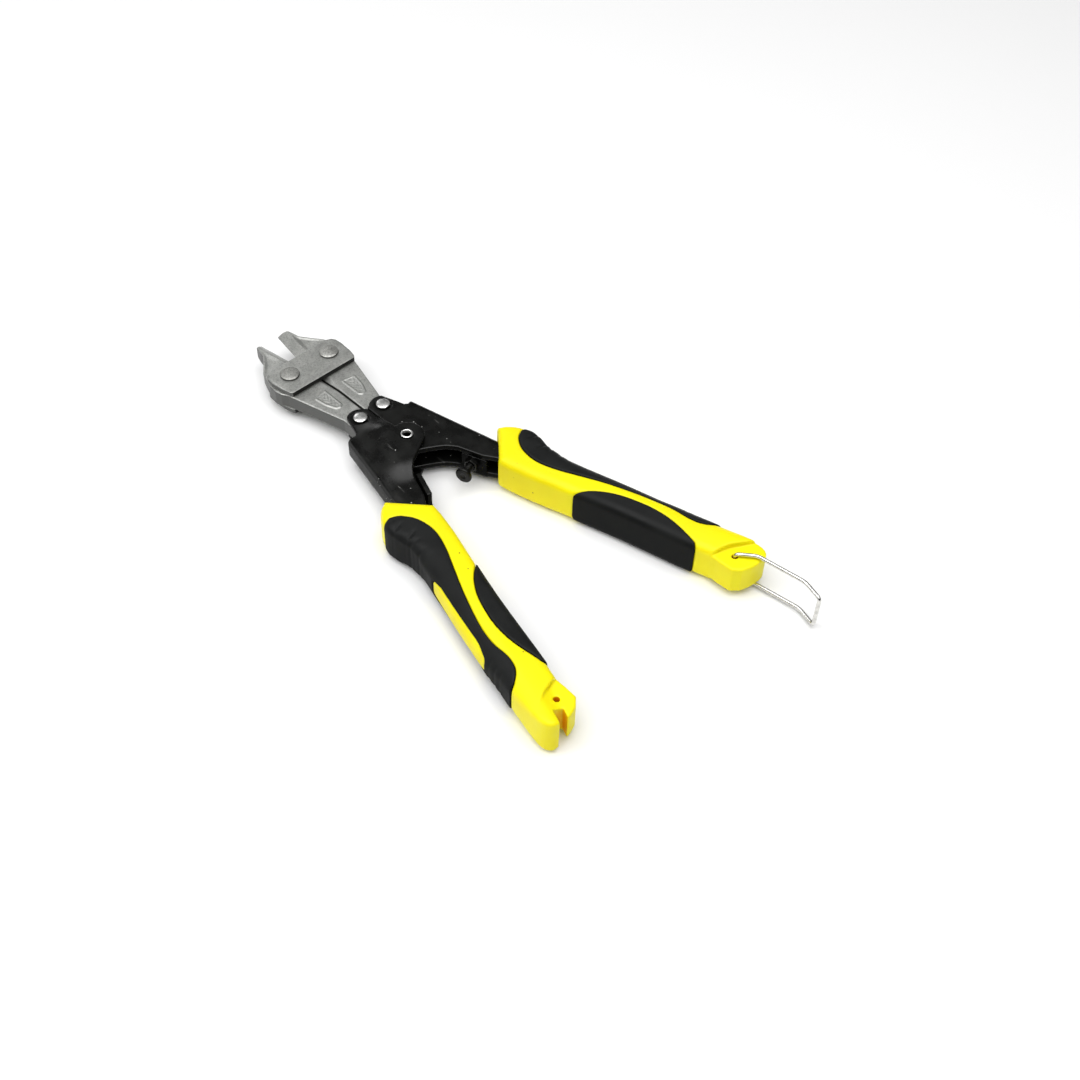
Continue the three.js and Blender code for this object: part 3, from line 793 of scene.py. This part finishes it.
# %% Grip outlines
GRIP_OUTLINE = [
    (25.9, 18.2),
    *smooth_line([
        (28.4, 20.3),
        (31.5, 21.6),
        (35, 22),
        (38.5, 21.6),
        (42, 20.1),
        (45.5, 18.1),
        (49.5, 16.6),
        (55, 15.6),
        (62, 15.3),
        (78, 14.8),
        (92, 13.8),
        (98, 12.9),
        (103, 11.9),
        (109, 11),
        (115, 10.3),
        (121, 9.3),
        (126.5, 8.1),
        (129.6, 6.6),
        (130.8, 4.2),
        (129.9, 1),
        (128.2, -2.3),
        (126, -4.9),
    ], 2),
    (122.9, -6.4),
    *smooth_line([
        (118, -4.9),
        (114.5, -3.7),
        (110, -3.4),
        (104, -2.9),
        (93, -1.7),
        (78, -0.2),
        (62, 0.8),
        (48, 1.5),
        (38, 2.6),
    ], 2),
    (33.8, 3.4),
]
PALM_REGION = [
    *smooth_line([
        (34.6, 19.6),
        (35.4, 15.6),
        (39.2, 11),
        (45.5, 8),
        (53, 7.4),
        (62, 8.2),
        (73, 9.3),
        (86, 9.7),
        (95, 8.9),
        (102, 6.8),
        (106.5, 6.4),
        (109.4, 7.2),
        (112, 9),
    ], 3),
    (114.4, 12),
    (114.4, 30),
    (36, 30),
    (35.6, 22),
]
FINGER_REGION = [
    *smooth_line([
        (64.5, 1.6),
        (69.5, 4.3),
        (76, 6),
        (83, 6.3),
        (91, 5.5),
        (99, 3),
        (108, -1.8),
    ], 3),
    (109.5, -4),
    (109.5, -12),
    (62.4, -12),
    (62.4, 0.5),
]
GRIP_ROUND = 3.2
INLAY_DEPTH = 1.2
PROUD = 0.35
SEAM = 0.12
HOLE = (121.6, -0.5)
SLOT_U, SLOT_LOW, SLOT_HIGH = 125.3, -0.95, 2.45
PALM_RIBS = [(36.4, 0.12), (47.5, 0.2), (52, 0.15), (100.5, 0.15), (103.5, 0.2), (106.5, 0.15)]
PALM_DENTS = [(39.5, 18.4), (44.4, 15.6)]

# %% [markdown]
# The grip is thickest along the inside. Its faces fall away towards the palm, and WAIST says at
# which v the fall begins for each u.


# %% Grip fields
WAIST = {46: 17.5, 55: 13.1, 62: 12, 76: 10.6, 90: 9, 98: 8.6, 109: 8.2, 118: 7.8, 126: 8}


def grip_body(u, v, w, grow=0.0):
    """The whole grip; grow moves its skin out."""
    height = np.abs(w)
    outline = outline_distance(GRIP_OUTLINE, u, v)
    crown = 0.35 * ramp(-outline, 0, 7)
    tail = ramp(u, 112, 122)
    body = both(outline - grow, height - GRIP_HALF + 0.35 - crown - grow, GRIP_ROUND - 1.6 * tail)
    fall_from = np.interp(u, list(WAIST), list(WAIST.values())) + 12 * ramp(u, 46, 36)
    fall = (height - GRIP_HALF + (v - fall_from) * 0.92) / 1.36
    return both(body, fall - grow, 2.2)


def strip_field(u, v, w):
    """The hard strip on the outside, between the two soft faces."""
    ends = [(62, 10), (98, 10), (98, 30), (62, 30)]
    half = 4.2 - 0.9 * ramp(np.abs(u - 80), 12, 18)
    return both(outline_distance(ends, u, v), np.abs(w) - half, 2.0)


def palm_field(u, v, w):
    region = both(outline_distance(PALM_REGION, u, v), -strip_field(u, v, w), 0.4)
    skin = grip_body(u, v, w, PROUD)
    for dent_u, dent_v in PALM_DENTS:
        across = (u - dent_u) * 0.5 + (v - dent_v) * 0.87
        along = (u - dent_u) * 0.87 - (v - dent_v) * 0.5
        skin = skin + 0.5 * np.exp(-((across / 1.9) ** 2) - (along / 0.7) ** 2)
    outside = ramp(v + np.abs(u - 50) * 0.05, 12.6, 14.6)
    for start, depth in PALM_RIBS:
        skin = skin + depth * np.exp(-(((u - start) / 0.7) ** 2)) * outside
    solid = both(skin, region + SEAM, 0.7)
    return minus(solid, grip_body(u, v, w, -INLAY_DEPTH), 0.2)


def finger_field(u, v, w):
    region = outline_distance(FINGER_REGION, u, v)
    solid = both(grip_body(u, v, w, PROUD), region + SEAM, 0.7)
    return minus(solid, grip_body(u, v, w, -INLAY_DEPTH), 0.2)


STEP_OUTLINE = [
    (114.2, -9),
    (114.8, -3.4),
    (117, -0.2),
    (118.8, 2.1),
    (123, 5.6),
    (127, 9),
    (129, 16),
    (150, 16),
    (150, -9),
]


def shell_field(side):
    tang = [(20, 4.1), (27, 4.1), (33, 5.5), (58.3, 5.5), (58.3, 11), (20, 15.7)]

    def field(u, v, w):
        body = grip_body(u, v, w)
        core = grip_body(u, v, w, -INLAY_DEPTH - SEAM)
        palm = both(outline_distance(PALM_REGION, u, v), -strip_field(u, v, w), 0.4)
        pocket = np.minimum(palm, outline_distance(FINGER_REGION, u, v))
        solid = either(minus(body, pocket, 0.35), core, 0.1)
        ledge = 5.4 + (0 if side > 0 else 2.3 * ramp(v, -1, 6)) - np.abs(w)
        stepped = both(outline_distance(STEP_OUTLINE, u, v), ledge, 0.1)
        solid = minus(solid, stepped, 0.8)
        solid = minus(solid, np.maximum(outline_distance(tang, u, v), np.abs(w) - CHEEK_OUTER - 0.15), 0.2)
        solid = minus(solid, round_hole(u, v, HOLE, 1.05), 0.25)
        if side < 0:
            slot = both(SLOT_U - u, np.maximum(SLOT_LOW - v, v - SLOT_HIGH), 0.5)
            solid = minus(solid, slot, 0.35)
        return solid

    return field


# %% Build the grips
for side, label in ((1, "right"), (-1, "left")):
    top = GRIP_HALF + 1.2
    place = in_handle(side)
    low, high = (24, -8, -top), (133, 23.5, top)
    shell = field_piece(f"{label}_shell", shell_field(side), low, high, 0.45, place)
    dress(shell, YELLOW, f"{label}_handle", "yellow_shell", f"{label}_grip_shell")
    low, high = (33, 5, -top), (119.5, 24.5, top)
    palm = field_piece(f"{label}_palm", palm_field, low, high, 0.42, place)
    dress(palm, RUBBER, f"{label}_handle", "black_grip", f"{label}_palm_inlay")
    low, high = (61, -5.5, -top), (110.5, 7.5, top)
    finger = field_piece(f"{label}_finger", finger_field, low, high, 0.42, place)
    dress(finger, RUBBER, f"{label}_handle", "black_grip", f"{label}_finger_panel")

# %% [markdown]
# ## Turned pieces
# A rivet or a screw head is turned: one profile swept round an axis. A Geometry Nodes tree does
# this for any profile. It bends a flat grid round the axis and reads the radius and height of
# each ring from a profile curve.


# %% The turning tree
def new_tree(name, inputs):
    tree = bpy.data.node_groups.new(name, "GeometryNodeTree")
    tree.is_modifier = True
    for label, kind, direction in inputs:
        tree.interface.new_socket(name=label, in_out=direction, socket_type=kind)
    return tree


def add_node(tree, kind, **settings):
    node = tree.nodes.new(kind)
    for key, value in settings.items():
        setattr(node, key, value)
    return node


def math_node(tree, operation, a, b=None):
    node = add_node(tree, "ShaderNodeMath", operation=operation)
    for socket, value in zip(node.inputs, (a, b)):
        if hasattr(value, "links"):
            tree.links.new(value, socket)
        elif value is not None:
            socket.default_value = value
    return node.outputs[0]


def turning_tree():
    tree = new_tree("turned_piece", [
        ("Geometry", "NodeSocketGeometry", "INPUT"),
        ("Segments", "NodeSocketInt", "INPUT"),
        ("Rings", "NodeSocketInt", "INPUT"),
        ("Material", "NodeSocketMaterial", "INPUT"),
        ("Geometry", "NodeSocketGeometry", "OUTPUT"),
    ])
    source = add_node(tree, "NodeGroupInput")
    grid = add_node(tree, "GeometryNodeMeshGrid")
    grid.inputs["Size X"].default_value = 1
    grid.inputs["Size Y"].default_value = 1
    tree.links.new(source.outputs["Segments"], grid.inputs["Vertices X"])
    tree.links.new(source.outputs["Rings"], grid.inputs["Vertices Y"])
    place = add_node(tree, "ShaderNodeSeparateXYZ")
    tree.links.new(add_node(tree, "GeometryNodeInputPosition").outputs[0], place.inputs[0])
    sample = add_node(tree, "GeometryNodeSampleCurve", mode="FACTOR", use_all_curves=True)
    tree.links.new(source.outputs["Geometry"], sample.inputs["Curves"])
    tree.links.new(math_node(tree, "ADD", place.outputs["Y"], 0.5), sample.inputs["Factor"])
    ring = add_node(tree, "ShaderNodeSeparateXYZ")
    tree.links.new(sample.outputs["Position"], ring.inputs[0])
    angle = math_node(tree, "MULTIPLY", place.outputs["X"], 2 * math.pi)
    turned = add_node(tree, "ShaderNodeCombineXYZ")
    for axis, wave in (("X", "COSINE"), ("Y", "SINE")):
        around = math_node(tree, "MULTIPLY", ring.outputs["X"], math_node(tree, wave, angle))
        tree.links.new(around, turned.inputs[axis])
    tree.links.new(ring.outputs["Z"], turned.inputs["Z"])
    steps = [
        add_node(tree, "GeometryNodeSetPosition"),
        add_node(tree, "GeometryNodeMergeByDistance"),
        add_node(tree, "GeometryNodeRealizeInstances"),
        add_node(tree, "GeometryNodeSetMaterial"),
    ]
    tree.links.new(turned.outputs[0], steps[0].inputs["Position"])
    steps[1].inputs["Distance"].default_value = 2e-6
    tree.links.new(source.outputs["Material"], steps[3].inputs["Material"])
    flow = grid.outputs["Mesh"]
    for step in steps:
        tree.links.new(flow, step.inputs["Geometry"])
        flow = step.outputs["Geometry"]
    tree.links.new(flow, add_node(tree, "NodeGroupOutput").inputs["Geometry"])
    return tree


def curve_object(name, routes, closed=False):
    """A poly curve through points in metres."""
    data = bpy.data.curves.new(name, "CURVE")
    data.dimensions = "3D"
    for route in routes:
        spline = data.splines.new("POLY")
        spline.points.add(len(route) - 1)
        for point, place in zip(spline.points, route):
            point.co = (*place, 1)
        spline.use_cyclic_u = closed
    thing = bpy.data.objects.new(name, data)
    bpy.context.collection.objects.link(thing)
    return thing


def grown_by(tree, host, settings):
    """The plain mesh that a tree makes on a host object, which is then removed."""
    modifier = host.modifiers.new(tree.name, "NODES")
    modifier.node_group = tree
    for item in tree.interface.items_tree:
        if item.item_type == "SOCKET" and item.in_out == "INPUT" and item.name in settings:
            modifier[item.identifier] = settings[item.name]
    host.update_tag()
    bpy.context.view_layer.update()
    evaluated = host.evaluated_get(bpy.context.evaluated_depsgraph_get())
    mesh = bpy.data.meshes.new_from_object(evaluated)
    points = np.array([v.co for v in mesh.vertices])
    faces = [tuple(p.vertices) for p in mesh.polygons]
    bpy.data.objects.remove(host)
    bpy.data.meshes.remove(mesh)
    return points / MM, faces


TURNING = turning_tree()


def rounded(profile, radius=0.12, steps=3):
    """Rounds the inner corners of a profile."""
    out = [profile[0]]
    for before, corner, after in zip(profile, profile[1:], profile[2:]):
        corner = np.array(corner)
        ways = [np.array(p) - corner for p in (before, after)]
        reach = [min(radius, np.hypot(*way) * 0.45) for way in ways]
        start, stop = (corner + way / np.hypot(*way) * r for way, r in zip(ways, reach))
        for t in np.linspace(0, 1, steps + 1):
            out.append(tuple((1 - t) ** 2 * start + 2 * t * (1 - t) * corner + t * t * stop))
    out.append(profile[-1])
    return out


def turned_piece(name, profile, place, material, segments=64, rings=120):
    """A turned piece about w through the origin of its own frame, moved by place."""
    host = curve_object(name + "_profile", [[(r * MM, 0, z * MM) for r, z in rounded(profile)]])
    points, faces = grown_by(TURNING, host, {"Segments": segments + 1, "Rings": rings, "Material": material})
    middle = np.array([points[list(f)].mean(axis=0) for f in faces])
    corners = points[np.array([f[:3] for f in faces])]
    normals = np.cross(corners[:, 1] - corners[:, 0], corners[:, 2] - corners[:, 0])
    volume = (middle * normals).sum()
    if volume < 0:
        faces = [f[::-1] for f in faces]
    piece = piece_from(name, points, faces, place)
    print(name, len(points), "vertices")
    return piece


# %% Rivets
def at_plan(x, y):
    def place(points):
        return (points + np.array([x, y, 0])) * MM + np.array(PIVOT), False

    return place


def domed_profile(shank, head, height, seat, dome):
    """Half profile of a rivet with two domed heads."""
    under = seat + 0.15
    top = [(head - 0.5, under), (head, under + height * 0.35)]
    top += [
        (head * math.cos(a), under + height * 0.35 + (height * 0.65) * math.sin(a) ** dome)
        for a in np.linspace(0.15, math.pi / 2, 12)
    ]
    top[-1] = (0, under + height)
    half = [(shank, 0), (shank, under)] + top
    lower = [(r, -z) for r, z in half[1:]]
    return lower[::-1] + half[1:]


for side, label in ((1, "right"), (-1, "left")):
    profile = domed_profile(2.4, 3.6, 1.0, PLATE_TOP, 1.0)
    rivet = turned_piece(f"{label}_jaw_pin", profile, at_plan(JAW_X, side * JAW_Y), SATIN_RIVET)
    body = "link_plates" if side > 0 else "left_jaw"
    dress(rivet, SATIN_RIVET, body, "bright_rivet", f"{label}_jaw_rivet")
    profile = domed_profile(1.6, 2.5, 0.8, CHEEK_OUTER, 0.8)
    rivet = turned_piece(f"{label}_tail_pin", profile, at_plan(TAIL_X, side * TAIL_Y), RIVET)
    dress(rivet, RIVET, f"{label}_handle", "bright_rivet", f"{label}_tail_rivet")

seat = RAISED_OUTER + 0.15
PIVOT_PROFILE = [
    (1.1, 0),
    (1.1, seat - 0.6),
    (1.6, seat + 0.4),
    (2.0, seat + 0.4),
    (2.3, seat + 0.1),
    (2.3, seat),
    (1.8, seat),
    (1.8, -seat),
    (2.3, -seat),
    (2.3, -seat - 0.1),
    (2.0, -seat - 0.4),
    (1.6, -seat - 0.4),
    (1.1, 0.6 - seat),
    (1.1, 0),
]
hollow = turned_piece("hollow_pivot", PIVOT_PROFILE, at_plan(0, 0), RIVET, rings=160)
dress(hollow, RIVET, "right_handle", "bright_rivet", "main_pivot_rivet")

# %% [markdown]
# ## Wire latch
# The latch is one bent wire, so it is a path with a round section. A second tree sweeps the
# section along the path.


# %% The wire tree
def wire_tree():
    tree = new_tree("bent_wire", [
        ("Geometry", "NodeSocketGeometry", "INPUT"),
        ("Radius", "NodeSocketFloat", "INPUT"),
        ("Sides", "NodeSocketInt", "INPUT"),
        ("Material", "NodeSocketMaterial", "INPUT"),
        ("Geometry", "NodeSocketGeometry", "OUTPUT"),
    ])
    source = add_node(tree, "NodeGroupInput")
    section = add_node(tree, "GeometryNodeCurvePrimitiveCircle")
    tree.links.new(source.outputs["Radius"], section.inputs["Radius"])
    tree.links.new(source.outputs["Sides"], section.inputs["Resolution"])
    sweep = add_node(tree, "GeometryNodeCurveToMesh")
    sweep.inputs["Fill Caps"].default_value = True
    tree.links.new(source.outputs["Geometry"], sweep.inputs["Curve"])
    tree.links.new(section.outputs["Curve"], sweep.inputs["Profile Curve"])
    real = add_node(tree, "GeometryNodeRealizeInstances")
    finish = add_node(tree, "GeometryNodeSetMaterial")
    tree.links.new(sweep.outputs["Mesh"], real.inputs["Geometry"])
    tree.links.new(real.outputs["Geometry"], finish.inputs["Geometry"])
    tree.links.new(source.outputs["Material"], finish.inputs["Material"])
    tree.links.new(finish.outputs["Geometry"], add_node(tree, "NodeGroupOutput").inputs["Geometry"])
    return tree


def bent_route(corners, radius, steps=8):
    """Points along a bent wire, with each corner rounded."""
    points = [np.array(c, float) for c in corners]
    out = [points[0]]
    for before, corner, after in zip(points, points[1:], points[2:]):
        back = (before - corner) / np.linalg.norm(before - corner)
        on = (after - corner) / np.linalg.norm(after - corner)
        start, stop = corner + back * radius, corner + on * radius
        for t in np.linspace(0, 1, steps + 1):
            out.append((1 - t) ** 2 * start + 2 * t * (1 - t) * corner + t * t * stop)
    out.append(points[-1])
    return out


WIRE_TREE = wire_tree()
WIRE_RADIUS = 0.68
LEG = [
    (*HOLE, 3.2),
    (*HOLE, WIRE_LEVEL),
    (128.5, 1.9, WIRE_LEVEL),
    (146, -1.8, WIRE_LEVEL),
    (152.3, -6.4, WIRE_LEVEL),
]
route = bent_route(LEG + [(u, v, -w) for u, v, w in reversed(LEG)], 1.5)
host = curve_object("wire_path", [[tuple(p * MM) for p in route]])
points, faces = grown_by(WIRE_TREE, host, {"Radius": WIRE_RADIUS * MM, "Sides": 20, "Material": WIRE_METAL})
wire = piece_from("wire_loop", points, faces, in_handle(1))
dress(wire, WIRE_METAL, "latch", "bright_wire", "wire_latch")
print("wire", len(points), "vertices")

# %% [markdown]
# ## Stop screw
# The stop is a small flat-headed screw with a lock nut. Its thread is a real helix, swept by the
# same wire tree round the shank.

# %% Stop screw and nut
HEAD_FACE = -3.2
SHANK = 1.25


def across_handle(points):
    """Turns a piece made along w so that it lies along v at the stop."""
    moved = np.stack([points[:, 0] + STOP_U, points[:, 2], -points[:, 1]], axis=1)
    return in_handle(1)(moved)


SCREW_PROFILE = [
    (0, HEAD_FACE + 0.25),
    (0.9, HEAD_FACE + 0.25),
    (1.1, HEAD_FACE),
    (2.7, HEAD_FACE),
    (3.0, HEAD_FACE + 0.3),
    (3.0, HEAD_FACE + 1.1),
    (2.8, HEAD_FACE + 1.3),
    (SHANK, HEAD_FACE + 1.3),
    (SHANK, 8.6),
    (0, 8.6),
]
screw = turned_piece("stop_screw_turned", SCREW_PROFILE, across_handle, BLACKENED)
dress(screw, BLACKENED, "right_handle", "blackened_screw", "stop_screw")
THREAD_TURNS, THREAD_STEPS, THREAD_PITCH, THREAD_START = 13, 24, 0.7, -0.6
helix = []
for step in range(THREAD_TURNS * THREAD_STEPS):
    turn = step / THREAD_STEPS
    angle = 2 * math.pi * turn
    height = THREAD_START + THREAD_PITCH * turn
    helix.append((SHANK * math.cos(angle) * MM, SHANK * math.sin(angle) * MM, height * MM))
host = curve_object("thread_path", [helix])
points, faces = grown_by(WIRE_TREE, host, {"Radius": 0.2 * MM, "Sides": 6, "Material": BLACKENED})
thread = piece_from("stop_screw_thread", points, faces, across_handle)
thread.data.materials.clear()
thread.data.materials.append(BLACKENED)
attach(thread, "right_handle")


def nut_field(x, y, z):
    slant = np.maximum(np.abs(x * 0.5 + y * 0.866), np.abs(x * 0.5 - y * 0.866))
    hexagon = np.maximum(np.abs(x), slant) - 2.3
    middle = np.abs(z - 3.35) - 1.1
    solid = both(hexagon, middle, 0.15)
    solid = both(solid, (np.hypot(x, y) - 2.45 + middle) * 0.7, 0.1)
    return minus(solid, np.hypot(x, y) - STOP_HOLE, 0.15)


nut = field_piece("stop_nut_hex", nut_field, (-3.5, -3.5, 1.5), (3.5, 3.5, 5.2), 0.16, across_handle)
dress(nut, BLACKENED, "right_handle", "blackened_screw", "stop_nut")
